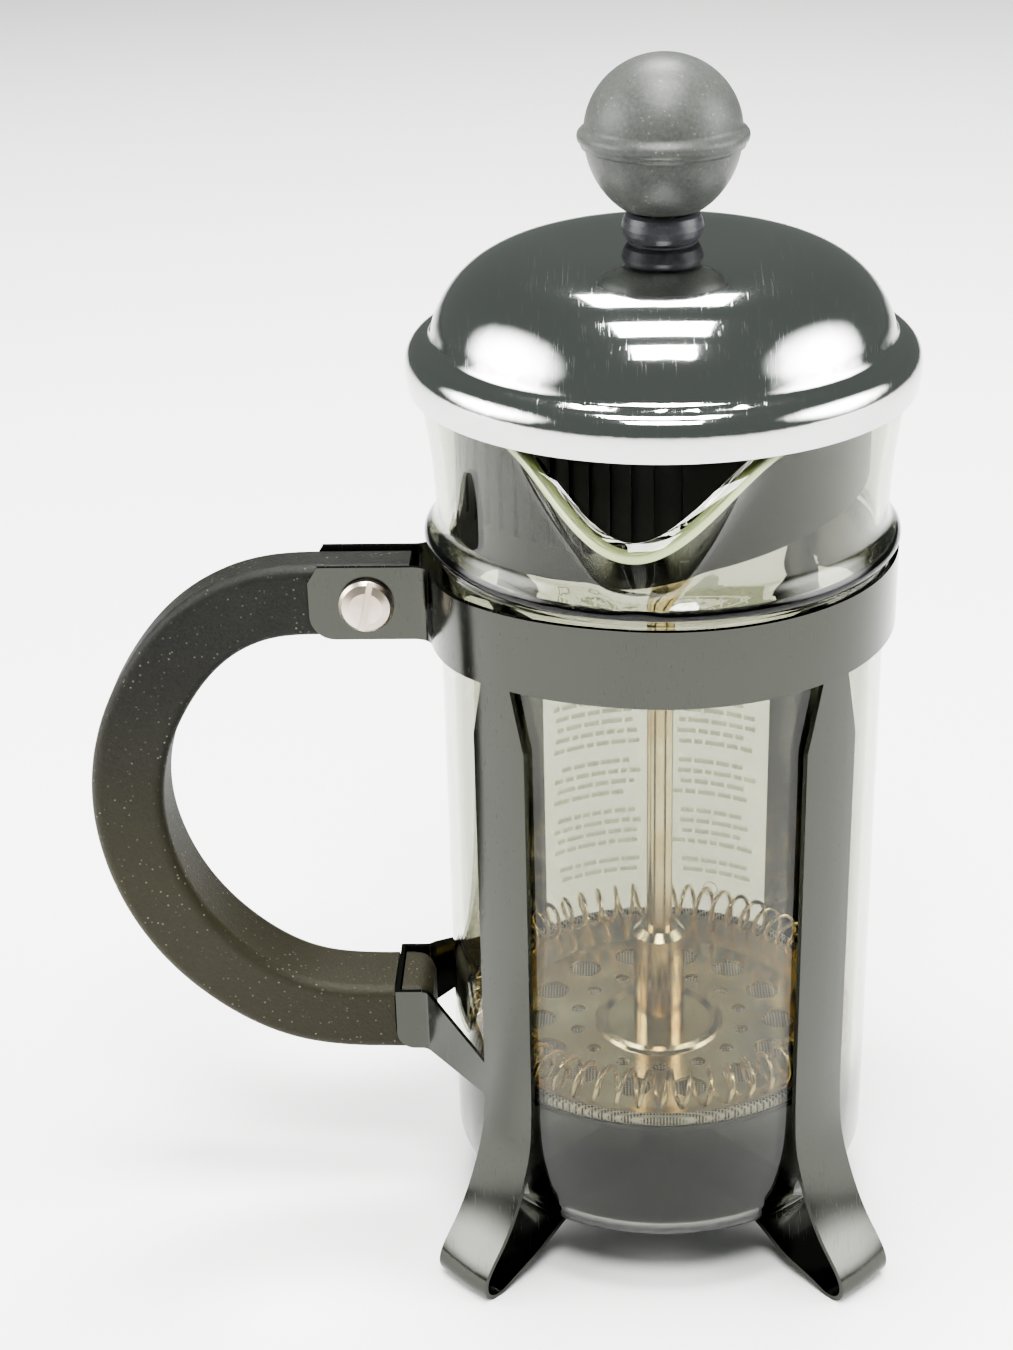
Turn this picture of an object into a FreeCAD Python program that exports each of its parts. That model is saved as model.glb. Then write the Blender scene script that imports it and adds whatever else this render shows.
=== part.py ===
import FreeCAD, Part
import math
import os

os.makedirs("parts", exist_ok=True)
V = FreeCAD.Vector

# Three-cup french press, millimetres.
# Origin: table level under the beaker's axis. Z up, handle towards -X, spout towards -Y.

# Glass beaker
GLASS_R = 34.8
GLASS_WALL = 1.8
GLASS_BASE_Z = 9.8
GLASS_BASE_T = 2.6
GLASS_CORNER_R = 5.5
GLASS_TOP_Z = 148.0
BEAD_Z = 122.9
BEAD_R = 36.9
RIM_R = 37.3
SPOUT_TIP_R = 46.5
SPOUT_TIP_Z = 136.5
SPOUT_ROOT_Z = 123.5
SPOUT_HALF_W = 22.5
SPOUT_TURN = -6.5

# Chrome frame
BAND_IN_R = 35.9
BAND_T = 0.75
BAND_Z0 = 108.4
BAND_Z1 = 120.6
EAR_DROP = 2.9
EAR_CORNER_R = 4.0
EAR_END_X = -55.2
EAR_BEND_R = 3.5
LEG_W = 11.1
LEG_T = 0.8
TAB_W = 5.5
TAB_Z0 = 97.0
TAB_Z1 = 115.5
FLOOR_STRIP_Z = 9.6
TOE_R = 2.45
TOE_X = 44.3
TOE_Z = 2.75
BAR_X = 23.4
WALL_Z0 = 36.0

# Handle
HANDLE_TOP_W = 8.4
HANDLE_LOW_W = 13.5
HANDLE_D = 11.9
HANDLE_EDGE_R = 1.8
SCREW_X = -46.1
SCREW_Z = 111.5
SHANK_R = 1.9
HEAD_R = 4.3

# Lower bracket
BRACKET_Z0 = 30.4
BRACKET_Z1 = 41.6
BRACKET_END_X = -44.4
BRACKET_BEND_X = -39.2
BRACKET_LEG_Z = 36.2
BRACKET_EAR_Y = 7.275
BRIDGE_Z0 = 33.6

# Lid
DOME_R = 34.95
DOME_Z0 = 153.9
DOME_TOP_Z = 167.5
SHEET_T = 0.6
SKIRT_R = 38.8
SKIRT_Z = 146.6
INSERT_R = 31.8
INSERT_WALL = 1.6
INSERT_FLANGE_Z = 148.4
INSERT_MID_Z = 131.0
INSERT_TILT = 6.0
INSERT_LOW_AZ = -50.0
RIB_COUNT = 15

# Plunger
ROD_R = 2.15
GUIDE_R = 2.22
KNOB_Z = 183.6
KNOB_R = 11.6
KNOB_UP = 11.2
KNOB_DOWN = 12.9
SLEEVE_R = 4.35
SLEEVE_TOP_Z = 50.5
HUB_Z = 31.0
PLATE_R = 25.5
PLATE_T = 0.7
COIL_MID_R = 29.2
COIL_MID_Z = 37.7
COIL_R = 2.9
COIL_WIRE_R = 0.4
COIL_TURNS = 56
RIM_MID_Z = 33.75
RIM_HALF_H = 1.15
MESH_R = 32.5


def save(name, shape):
    # One clean solid per node.
    solid = shape.Solids[0] if len(shape.Solids) == 1 else shape
    solid.exportStep("parts/" + name + ".step")


def turn(shape, degrees):
    out = shape.copy()
    out.rotate(V(0, 0, 0), V(0, 0, 1), degrees)
    return out


def ring_profile(points):
    # Closed polygon of (r, z) pairs spun about Z.
    wire = Part.makePolygon([V(r, 0, z) for r, z in points + [points[0]]])
    return Part.Face(wire).revolve(V(0, 0, 0), V(0, 0, 1), 360)


def spline(points):
    curve = Part.BSplineCurve()
    curve.interpolate([V(*p) for p in points])
    return curve.toShape()


def line(a, b):
    return Part.makeLine(V(*a), V(*b))


def ribbon(points, thickness, first, last):
    # Closed strip outline in the XZ plane, centred on a smooth path of (x, z) points.
    path = Part.BSplineCurve()
    path.interpolate([V(x, 0, z) for x, z in points], InitialTangent=first, FinalTangent=last)
    sides = ([], [])
    count = 60
    for i in range(count + 1):
        u = path.FirstParameter + (path.LastParameter - path.FirstParameter) * i / count
        at = path.value(u)
        tangent = path.tangent(u)[0]
        normal = V(tangent.z, 0, -tangent.x)
        for side, sign in zip(sides, (0.5, -0.5)):
            p = at + normal * (sign * thickness)
            side.append((p.x, 0, p.z))
    left, right = sides
    edges = [spline(left), line(left[-1], right[-1]), spline(right), line(left[0], right[0])]
    return Part.Face(Part.Wire(Part.__sortEdges__(edges)))


# ---------------------------------------------------------------- glass beaker

def beaker_side(inset):
    # Outer wall path from the base corner up to the rim; inset gives the inner wall.
    r = GLASS_R - inset
    bulge = BEAD_R - GLASS_R
    rows = [(r, 115.8), (r + 0.06 * bulge, BEAD_Z - 4.3)]
    rows += [(r + 0.28 * bulge, BEAD_Z - 2.5), (r + 0.85 * bulge, BEAD_Z - 1.0), (r + bulge, BEAD_Z)]
    rows += [(r + 0.85 * bulge, BEAD_Z + 1.4), (r + 0.35 * bulge, BEAD_Z + 3.2), (r + 0.35, 130.0)]
    rows += [(r + 0.8, 137.0), (r + RIM_R - GLASS_R, GLASS_TOP_Z)]
    return rows


def beaker_solid(inset, base_z, top_z):
    corner = GLASS_CORNER_R - inset * 0.6
    side = beaker_side(inset)
    r = side[0][0]
    mid = math.sqrt(0.5)
    start = V(0, 0, base_z)
    foot = V(r - corner, 0, base_z)
    bend = V(r - corner + corner * mid, 0, base_z + corner - corner * mid)
    heel = V(r, 0, base_z + corner)
    top = V(side[-1][0], 0, side[-1][1])
    edges = [Part.makeLine(start, foot), Part.Arc(foot, bend, heel).toShape()]
    edges.append(Part.makeLine(heel, V(r, 0, side[0][1])))
    wall = Part.BSplineCurve()
    wall.interpolate([V(a, 0, b) for a, b in side], InitialTangent=V(0, 0, 1), FinalTangent=V(0.15, 0, 1))
    edges.append(wall.toShape())
    if top_z > side[-1][1]:
        over = V(top.x, 0, top_z)
        edges.append(Part.makeLine(top, over))
        top = over
    edges.append(Part.makeLine(top, V(0, 0, top.z)))
    edges.append(Part.makeLine(V(0, 0, top.z), start))
    face = Part.Face(Part.Wire(edges))
    return face.revolve(V(0, 0, 0), V(0, 0, 1), 360)


def spout_cone(inset):
    # Pulled pouring lip: a cone from its root on the wall to a V-shaped edge.
    drop = GLASS_TOP_Z - SPOUT_TIP_Z
    root_y = -math.sqrt(RIM_R ** 2 - SPOUT_HALF_W ** 2)
    grow = 1.25

    def edge_point(x, t):
        y = root_y + (-SPOUT_TIP_R - root_y) * t
        z = GLASS_TOP_Z - drop * t
        return V(x, y, z)

    apex = V(0, -GLASS_R + 2.5, SPOUT_ROOT_Z - 2.5)
    lift = V(0, inset * 0.75, inset * 0.85)
    rows = []
    half = ((1.0, 0.0), (0.76, 0.2), (0.5, 0.53), (0.25, 0.85))
    for x, t in half + ((0.0, 1.0),) + tuple((-x, t) for x, t in reversed(half)):
        p = edge_point(x * (SPOUT_HALF_W - inset * 0.5), t)
        rows.append(apex + (p - apex) * grow + lift)
    curve = Part.BSplineCurve()
    curve.interpolate(rows)
    rim = Part.Wire([curve.toShape(), Part.makeLine(rows[-1], rows[0])])
    return Part.makeLoft([Part.Vertex(apex + lift), rim], True, True)


glass_out = beaker_solid(0.0, GLASS_BASE_Z, 0.0).fuse(spout_cone(0.0))
glass_in = beaker_solid(GLASS_WALL, GLASS_BASE_Z + GLASS_BASE_T, GLASS_TOP_Z + 8.0)
glass_in = glass_in.fuse(spout_cone(GLASS_WALL))
glass = glass_out.cut(glass_in)
rim_y = -math.sqrt(RIM_R ** 2 - SPOUT_HALF_W ** 2)
slope = math.degrees(math.atan2(GLASS_TOP_Z - SPOUT_TIP_Z, SPOUT_TIP_R + rim_y))
above = Part.makeBox(90, 60, 40, V(-45, -60, 0))
above.rotate(V(0, 0, 0), V(1, 0, 0), slope)
above.translate(V(0, rim_y, GLASS_TOP_Z))
glass = glass.cut(above)
glass = glass.cut(Part.makeBox(120, 120, 40, V(-60, -60, GLASS_TOP_Z)))
save("glass_beaker", turn(glass, SPOUT_TURN))

# ---------------------------------------------------------------- band with ears

EAR_GAP = 0.02
EAR_Y = HANDLE_TOP_W / 2 + BAND_T / 2 + EAR_GAP
BAND_R = BAND_IN_R + BAND_T / 2
BEND_X = -math.sqrt((BAND_R + EAR_BEND_R) ** 2 - (EAR_Y + EAR_BEND_R) ** 2)
BEND_Y = EAR_Y + EAR_BEND_R


def collar_path(offset, end_x, sign_y):
    # Ear line, bend and the start of the ring on one side of the split.
    centre = V(BEND_X, sign_y * BEND_Y, 0)
    inward = centre * (BAND_R / (BAND_R + EAR_BEND_R)) - centre
    up = V(0, -sign_y * EAR_BEND_R, 0)
    radius = EAR_BEND_R - offset
    ring_at = centre * ((BAND_R + offset) / (BAND_R + EAR_BEND_R))
    ear_at = centre + up * (radius / EAR_BEND_R)
    half = (inward + up) * 0.5
    mid_at = centre + half * (radius / half.Length)
    end = V(end_x, ear_at.y, 0)
    return end, ear_at, mid_at, ring_at


def collar_side(offset, end_x):
    e0, e1, m, r0 = collar_path(offset, end_x, -1)
    f0, f1, n, r1 = collar_path(offset, end_x, 1)
    far = V(BAND_R + offset, 0, 0)
    edges = [Part.makeLine(e0, e1), Part.Arc(e1, m, r0).toShape(), Part.Arc(r0, far, r1).toShape()]
    edges += [Part.Arc(r1, n, f1).toShape(), Part.makeLine(f1, f0)]
    return edges, e0, f0


def collar_face(end_x):
    outer, oa, ob = collar_side(BAND_T / 2, end_x)
    inner, ia, ib = collar_side(-BAND_T / 2, end_x)
    edges = outer + inner + [Part.makeLine(oa, ia), Part.makeLine(ob, ib)]
    return Part.Face(Part.Wire(Part.__sortEdges__(edges)))


def band_outline():
    # Side view of the band: level round the glass, dropping towards the ears, corners rounded.
    low = [(-6.0, 0.0), (-20.0, 0.6), (-28.0, 1.5), (-34.0, 2.6), (-39.5, EAR_DROP)]
    curves = []
    for z in (BAND_Z0, BAND_Z1):
        curve = Part.BSplineCurve()
        curve.interpolate([V(x, 0, z - drop) for x, drop in low], InitialTangent=V(-1, 0, 0), FinalTangent=V(-1, 0, 0))
        curves.append(curve.toShape())
    z0 = BAND_Z0 - EAR_DROP
    z1 = BAND_Z1 - EAR_DROP
    r = EAR_CORNER_R
    mid = r * (1 - math.sqrt(0.5))
    foot = V(EAR_END_X + r, 0, z0)
    side = V(EAR_END_X, 0, z0 + r)
    notch = V(EAR_END_X, 0, z1 - 2.6)
    nose = V(EAR_END_X + 1.6, 0, z1)
    edges = curves + [Part.makeLine(V(low[-1][0], 0, z0), foot)]
    edges.append(Part.Arc(foot, V(EAR_END_X + mid, 0, z0 + mid), side).toShape())
    edges += [Part.makeLine(side, notch), Part.makeLine(notch, nose), Part.makeLine(nose, V(low[-1][0], 0, z1))]
    edges += [line((low[0][0], 0, BAND_Z1), (50, 0, BAND_Z1)), line((50, 0, BAND_Z1), (50, 0, BAND_Z0))]
    edges.append(line((50, 0, BAND_Z0), (low[0][0], 0, BAND_Z0)))
    return Part.Face(Part.Wire(Part.__sortEdges__(edges)))


band = collar_face(EAR_END_X - 1).extrude(V(0, 0, 40))
band.translate(V(0, 0, BAND_Z0 - 15))
side_view = band_outline().extrude(V(0, 120, 0))
side_view.translate(V(0, -60, 0))
band = band.common(side_view)
screw_hole = Part.makeCylinder(SHANK_R, 40, V(SCREW_X, -20, SCREW_Z), V(0, 1, 0))
band = band.cut(screw_hole)
save("collar_band", band)

# ---------------------------------------------------------------- leg strips

LEG_R = BAND_IN_R - LEG_T / 2
FOOT_PATH = ((36.1, 25.0), (37.4, 20.2), (39.9, 14.2), (42.9, 9.2), (45.7, 5.6))


def strip_profile(floor_z):
    # Side outline of one foot: flare, curled toe and the return under the glass.
    rows = [(LEG_R, WALL_Z0), (LEG_R + 0.12, 30.5)] + list(FOOT_PATH)
    for angle in (10, -35, -80):
        a = math.radians(angle)
        rows.append((TOE_X + TOE_R * math.cos(a), TOE_Z + TOE_R * math.sin(a)))
    low = floor_z - LEG_T / 2
    rows += [(41.4, 1.15), (34.8, low - 5.2), (29.2, low - 1.9), (26.2, low - 0.5), (BAR_X, low)]
    return ribbon(rows, LEG_T, V(0, 0, -1), V(-1, 0, 0))


def leg_outline():
    half = LEG_W / 2
    tab = TAB_W / 2
    rows = [(-half, -1), (-half, TAB_Z0), (-tab, BAND_Z0), (-tab, TAB_Z1 + 1)]
    rows += [(-y, z) for y, z in reversed(rows)]
    wire = Part.makePolygon([V(5, y, z) for y, z in rows + [rows[0]]])
    return Part.Face(wire).extrude(V(60, 0, 0))


def leg_strip(floor_z, degrees):
    # One strip makes two opposite legs and the cross bar between them.
    wall = Part.makePlane(LEG_T, TAB_Z1 - WALL_Z0, V(LEG_R - LEG_T / 2, 0, WALL_Z0), V(0, -1, 0), V(1, 0, 0))
    sectors = []
    for face in (strip_profile(floor_z), wall):
        face.rotate(V(0, 0, 0), V(0, 0, 1), -24)
        sectors.append(face.revolve(V(0, 0, 0), V(0, 0, 1), 48))
    leg = sectors[0].fuse(sectors[1]).common(leg_outline())
    leg = leg.cut(Part.makeBox(60, 60, 5, V(0, -30, -5)))
    bar = Part.makeBox(2 * BAR_X, LEG_W, LEG_T, V(-BAR_X, -LEG_W / 2, floor_z - LEG_T))
    strip = leg.fuse(turn(leg, 180)).fuse(bar).removeSplitter()
    return turn(strip, degrees)


save("leg_strip_upper", leg_strip(FLOOR_STRIP_Z, 45))
save("leg_strip_lower", leg_strip(FLOOR_STRIP_Z - LEG_T, 135))

# ---------------------------------------------------------------- lower bracket

def bent_strip(start, corner, end, bend_r, thickness):
    # Plan outline of a flat strip bent once at a rounded corner.
    first = (corner - start).normalize()
    second = (end - corner).normalize()
    side = 1 if first.cross(second).z > 0 else -1
    n1 = V(-first.y, first.x, 0) * side
    n2 = V(-second.y, second.x, 0) * side
    centre = corner - first * (bend_r * math.tan(first.getAngle(second) / 2)) + n1 * bend_r
    middle = (n1 + n2).normalize()
    edges = []
    ends = []
    for offset in (thickness / 2, -thickness / 2):
        r = bend_r - offset
        a = start + n1 * offset
        b = end + n2 * offset
        edges += [Part.makeLine(a, centre - n1 * r), Part.makeLine(centre - n2 * r, b)]
        edges.append(Part.Arc(centre - n1 * r, centre - middle * r, centre - n2 * r).toShape())
        ends.append((a, b))
    edges += [Part.makeLine(ends[0][0], ends[1][0]), Part.makeLine(ends[0][1], ends[1][1])]
    return Part.Face(Part.Wire(Part.__sortEdges__(edges)))


def bracket_outline():
    # Side view of the bracket: upright ear, then a top edge falling to the leg.
    r = 3.0
    mid = r * (1 - math.sqrt(0.5))
    heel = V(BRACKET_END_X, 0, BRACKET_Z0 + r)
    sole = V(BRACKET_END_X + r, 0, BRACKET_Z0)
    corners = [sole, V(-20, 0, BRACKET_Z0), V(-20, 0, BRACKET_LEG_Z), V(-28, 0, BRACKET_LEG_Z)]
    corners += [V(BRACKET_BEND_X + 0.4, 0, BRACKET_Z1), V(BRACKET_END_X, 0, BRACKET_Z1), heel]
    edges = [Part.makeLine(a, b) for a, b in zip(corners, corners[1:])]
    edges.append(Part.Arc(heel, V(BRACKET_END_X + mid, 0, BRACKET_Z0 + mid), sole).toShape())
    return Part.Face(Part.Wire(edges))


edge_turn = math.radians(45.0) - math.atan2(LEG_W / 2, LEG_R)
weld = V(-LEG_R * math.cos(edge_turn), -LEG_R * math.sin(edge_turn), 0)
bend_at = V(BRACKET_BEND_X, -BRACKET_EAR_Y, 0)
weld_end = weld + (weld - bend_at).normalize() * 2.0
arm = bent_strip(V(BRACKET_END_X, -BRACKET_EAR_Y, 0), bend_at, weld_end, 2.2, BAND_T).extrude(V(0, 0, 60))
arm = arm.fuse(arm.mirror(V(0, 0, 0), V(0, 1, 0)))
side_view = bracket_outline().extrude(V(0, 60, 0))
side_view.translate(V(0, -30, 0))
arm = arm.common(side_view)
for degrees in (135, 225):
    arm = arm.cut(turn(Part.makeBox(30, LEG_W, 90, V(20, -LEG_W / 2, 0)), degrees))
bridge = Part.makeBox(BAND_T, 2 * BRACKET_EAR_Y, BRACKET_Z1 - BRIDGE_Z0, V(BRACKET_END_X, -BRACKET_EAR_Y, BRIDGE_Z0))
save("handle_bracket", arm.fuse(bridge).removeSplitter())

# ---------------------------------------------------------------- handle

HANDLE_PATH = ((-39.3, 111.4), (-53.0, 111.4), (-62.5, 110.7), (-72.2, 106.2), (-80.2, 97.3),
               (-85.3, 86.8), (-87.0, 75.8), (-85.2, 64.2), (-79.6, 52.4), (-70.0, 42.3),
               (-57.6, 36.3), (-48.0, 35.4), (-38.3, 35.4))
HANDLE_STATIONS = 40
WIDE_Z = 46.0
NARROW_Z = 106.0
TIP_L = 2.6


def handle_section(curve, u, to_end):
    # Rounded rectangle square to the path; wider lower down, drawn in at the tip.
    at = curve.value(u)
    tangent = curve.tangent(u)[0]
    out = V(-tangent.z, 0, tangent.x)
    share = min(max((NARROW_Z - at.z) / (NARROW_Z - WIDE_Z), 0.0), 1.0)
    share = share * share * (3 - 2 * share)
    pull = 1 - 0.3 * max(1 - to_end / TIP_L, 0.0) ** 2
    w = (HANDLE_TOP_W + (HANDLE_LOW_W - HANDLE_TOP_W) * share) / 2 * pull
    d = HANDLE_D / 2 * pull
    r = HANDLE_EDGE_R
    mid = r * (1 - math.sqrt(0.5))
    edges = []
    for a, b in ((1, 1), (-1, 1), (-1, -1), (1, -1)):
        points = [(a * w, b * (d - r)), (a * (w - mid), b * (d - mid)), (a * (w - r), b * d)]
        if a != b:
            points.reverse()
        edges.append([at + V(0, y, 0) + out * n for y, n in points])
    wire = []
    for k, corner in enumerate(edges):
        wire.append(Part.Arc(*corner).toShape())
        wire.append(Part.makeLine(corner[2], edges[(k + 1) % 4][0]))
    return Part.Wire(wire)


path_curve = Part.BSplineCurve()
path_curve.interpolate([V(x, 0, z) for x, z in HANDLE_PATH], InitialTangent=V(-1, 0, 0), FinalTangent=V(1, 0, 0))
length = path_curve.length()
stops = [length * k / HANDLE_STATIONS for k in range(HANDLE_STATIONS)]
stops += [length - 1.3, length - 0.5, length]
handle = Part.makeLoft([handle_section(path_curve, path_curve.parameterAtDistance(stop), length - stop)
                        for stop in stops], True, False)
handle = handle.cut(Part.makeCylinder(BAND_IN_R + BAND_T + 1.2, 200, V(0, 0, 0)))
handle = handle.cut(screw_hole)
handle = handle.cut(Part.makeBox(BAND_T + 0.5, 20, 20, V(BRACKET_END_X - 0.25, -10, BRIDGE_Z0 - 0.3)))
save("handle", handle)

# ---------------------------------------------------------------- handle screw and nut

EAR_FACE = EAR_Y + BAND_T / 2
shank = Part.makeCylinder(SHANK_R, 2 * EAR_FACE + 2.4, V(SCREW_X, -EAR_FACE, SCREW_Z), V(0, 1, 0))
head_rows = [(0, 0), (HEAD_R, 0), (HEAD_R, 0.9), (HEAD_R - 0.5, 1.5), (HEAD_R - 1.7, 1.95), (0, 2.1)]
head = ring_profile(head_rows)
head.rotate(V(0, 0, 0), V(1, 0, 0), 90)
slot = Part.makeBox(1.0, 3.0, 12, V(-0.5, -4.0, -6))
slot.rotate(V(0, 0, 0), V(0, 1, 0), 12)
head = head.cut(slot)
head.translate(V(SCREW_X, -EAR_FACE, SCREW_Z))
save("handle_screw", shank.fuse(head).removeSplitter())

nut_pts = [V(3.9 * math.cos(math.radians(60 * k)), 0, 3.9 * math.sin(math.radians(60 * k))) for k in range(7)]
nut = Part.Face(Part.makePolygon(nut_pts)).extrude(V(0, 2.2, 0))
nut.translate(V(SCREW_X, EAR_FACE, SCREW_Z))
nut = nut.cut(Part.makeCylinder(SHANK_R, 10, V(SCREW_X, 0, SCREW_Z), V(0, 1, 0)))
save("handle_nut", nut)

# ---------------------------------------------------------------- lid

STEM_R = 5.0
BORE_R = STEM_R + 0.05


def dome_rows():
    # Outer side of the sheet: crown, rounded shoulder, steep wall, small fillet and sloping rim.
    rows = [(0.0, DOME_TOP_Z)]
    for degrees in (89.3, 87.5, 84, 78, 70, 60, 48, 36, 24, 13):
        a = math.radians(degrees)
        r = DOME_R * math.cos(a) ** 0.425
        rows.append((r, DOME_Z0 + (DOME_TOP_Z - DOME_Z0) * math.sin(a) ** 1.333))
    rows += [(DOME_R - 0.08, 154.75), (DOME_R + 0.35, 154.05), (DOME_R + 1.25, 153.6), (SKIRT_R - 1.25, 152.9)]
    rows += [(SKIRT_R - 0.35, 151.75), (SKIRT_R, 150.3), (SKIRT_R - 0.08, 148.4), (SKIRT_R - 0.35, SKIRT_Z)]
    return rows


def dome_sheet():
    # One pressed sheet: the outer line, its inward offset and the cut edge at the hem.
    curve = Part.BSplineCurve()
    curve.interpolate([V(r, 0, z) for r, z in dome_rows()], InitialTangent=V(1, 0, 0), FinalTangent=V(-0.2, 0, -1))
    inner = []
    count = 120
    for i in range(count + 1):
        u = curve.FirstParameter + (curve.LastParameter - curve.FirstParameter) * i / count
        t = curve.tangent(u)[0]
        inner.append(curve.value(u) + V(t.z, 0, -t.x) * SHEET_T)
    inner[0] = V(0, 0, DOME_TOP_Z - SHEET_T)
    under = Part.BSplineCurve()
    under.interpolate(inner)
    outer_end = curve.value(curve.LastParameter)
    edges = [curve.toShape(), under.toShape(), Part.makeLine(outer_end, inner[-1])]
    edges.append(Part.makeLine(V(0, 0, DOME_TOP_Z), inner[0]))
    return Part.Face(Part.Wire(Part.__sortEdges__(edges))).revolve(V(0, 0, 0), V(0, 0, 1), 360)


dome = dome_sheet().cut(Part.makeCylinder(BORE_R, 60, V(0, 0, 140)))
save("lid_dome", dome)

# Insert: flange on the glass rim, a plug wall inside the glass and a neck up to the dome.
plug = ring_profile([(INSERT_R - INSERT_WALL, 118.0), (INSERT_R, 118.0), (INSERT_R, INSERT_FLANGE_Z),
                     (37.4, INSERT_FLANGE_Z), (37.4, INSERT_FLANGE_Z + 1.8), (BORE_R, INSERT_FLANGE_Z + 1.8),
                     (BORE_R, INSERT_FLANGE_Z), (INSERT_R - INSERT_WALL, INSERT_FLANGE_Z)])
low_side = Part.makeBox(90, 90, 60, V(-45, -45, -60))
low_side.rotate(V(0, 0, 0), V(1, 0, 0), math.degrees(math.atan2(INSERT_TILT, INSERT_R)))
low_side.translate(V(0, 0, INSERT_MID_Z))
low_side = turn(low_side, INSERT_LOW_AZ)
plug = plug.cut(low_side)
groove = Part.makeBox(3.0, 1.1, 16.0, V(INSERT_R - 0.75, -0.55, 130.5))
grooves = None
for k in range(RIB_COUNT):
    cut = turn(groove, -165 + 78.0 * k / (RIB_COUNT - 1))
    grooves = cut if grooves is None else grooves.fuse(cut)
plug = plug.cut(grooves)
neck = ring_profile([(BORE_R, INSERT_FLANGE_Z + 1.0), (BORE_R + 2.4, INSERT_FLANGE_Z + 1.0),
                     (BORE_R + 2.4, DOME_TOP_Z - SHEET_T - 0.15), (BORE_R, DOME_TOP_Z - SHEET_T - 0.05)])
save("lid_insert", plug.fuse(neck).removeSplitter())

# Guide bushing: the small double bead over the dome and its stem down to the insert.
bush_z = DOME_TOP_Z + 0.02
bush_out = [(GUIDE_R, INSERT_FLANGE_Z - 1.0), (STEM_R, INSERT_FLANGE_Z - 1.0), (STEM_R, bush_z), (5.3, bush_z)]
for step in range(7):
    a = math.radians(-75 + 25 * step)
    bulge = 0.12 if step == 3 else 0.0
    bush_out.append((4.7 + (1.3 + bulge) * math.cos(a), bush_z + 2.35 + 2.2 * math.sin(a)))
bush_out.append((GUIDE_R, bush_z + 4.5))
save("guide_bushing", ring_profile(bush_out))
clip = ring_profile([(STEM_R, INSERT_FLANGE_Z - 1.0), (STEM_R + 2.0, INSERT_FLANGE_Z - 1.0),
                     (STEM_R + 2.0, INSERT_FLANGE_Z - 0.1), (STEM_R, INSERT_FLANGE_Z - 0.1)])
save("bushing_clip", clip)

# ---------------------------------------------------------------- knob and rod

lower = []
for step in range(12):
    a = math.radians(-58.8 + 48.0 * step / 11)
    lower.append((KNOB_R * math.cos(a), KNOB_Z + KNOB_DOWN * math.sin(a)))
upper = []
for step in range(15):
    a = math.radians(8.0 + 82.0 * step / 14)
    upper.append((max(KNOB_R * math.cos(a), 0.0), KNOB_Z + KNOB_UP * math.sin(a)))
ridge = [(KNOB_R + 0.3, KNOB_Z - 2.1), (KNOB_R + 0.5, KNOB_Z - 1.5), (KNOB_R + 0.85, KNOB_Z - 1.2)]
ridge += [(KNOB_R + 1.0, KNOB_Z - 0.4), (KNOB_R + 0.8, KNOB_Z + 0.3), (KNOB_R + 0.1, KNOB_Z + 0.8)]
knob = ring_profile([(0, lower[0][1])] + lower + ridge + upper)
socket_z = KNOB_Z + 3.0
knob = knob.cut(Part.makeCylinder(ROD_R, socket_z - 160, V(0, 0, 160)))
save("knob", knob)

rod_low = HUB_Z - 6.4
save("plunger_rod", Part.makeCylinder(ROD_R, socket_z - rod_low, V(0, 0, rod_low)))

sleeve = ring_profile([(ROD_R, HUB_Z + PLATE_T), (SLEEVE_R, HUB_Z + PLATE_T), (SLEEVE_R, SLEEVE_TOP_Z - 1.2),
                       (SLEEVE_R - 1.2, SLEEVE_TOP_Z), (ROD_R, SLEEVE_TOP_Z)])
save("rod_sleeve", sleeve)

# ---------------------------------------------------------------- filter stack

plate = ring_profile([(ROD_R, HUB_Z), (PLATE_R, HUB_Z), (PLATE_R, HUB_Z + PLATE_T), (11.0, HUB_Z + PLATE_T),
                      (10.6, HUB_Z + PLATE_T + 0.5), (9.6, HUB_Z + PLATE_T + 0.7), (8.7, HUB_Z + PLATE_T),
                      (ROD_R, HUB_Z + PLATE_T)])
large = Part.makeCylinder(2.8, 6, V(20.5, 0, HUB_Z - 2))
small = Part.makeCylinder(1.2, 6, V(14.2, 0, HUB_Z - 2))
for k in range(14):
    plate = plate.cut(turn(large, 360.0 * k / 14))
    plate = plate.cut(turn(small, 360.0 * (k + 0.5) / 14))
cup = ring_profile([(PLATE_R - 0.02, HUB_Z), (PLATE_R + 0.6, HUB_Z), (30.7, HUB_Z + 2.55), (30.7, HUB_Z + 3.15),
                    (PLATE_R + 0.3, HUB_Z + PLATE_T), (PLATE_R - 0.02, HUB_Z + PLATE_T)])
save("spiral_plate", plate.fuse(cup).removeSplitter())

# Edge spring: a closed coil whose wire runs round the rim of the plate.
knots = COIL_TURNS * 8
coil_rows = []
for k in range(knots - 1):
    along = 2 * math.pi * k / knots
    around = along * COIL_TURNS
    r = COIL_MID_R + COIL_R * math.cos(around)
    coil_rows.append(V(r * math.cos(along), r * math.sin(along), COIL_MID_Z + COIL_R * math.sin(around)))
coil_curve = Part.BSplineCurve()
coil_curve.interpolate(coil_rows)
coil_wire = Part.Wire([coil_curve.toShape()])
start = coil_rows[0]
coil_section = Part.Wire([Part.makeCircle(COIL_WIRE_R, start, coil_curve.tangent(coil_curve.FirstParameter)[0])])
coil = coil_wire.makePipeShell([coil_section], True, True)
save("coil_spring", coil)

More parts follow.
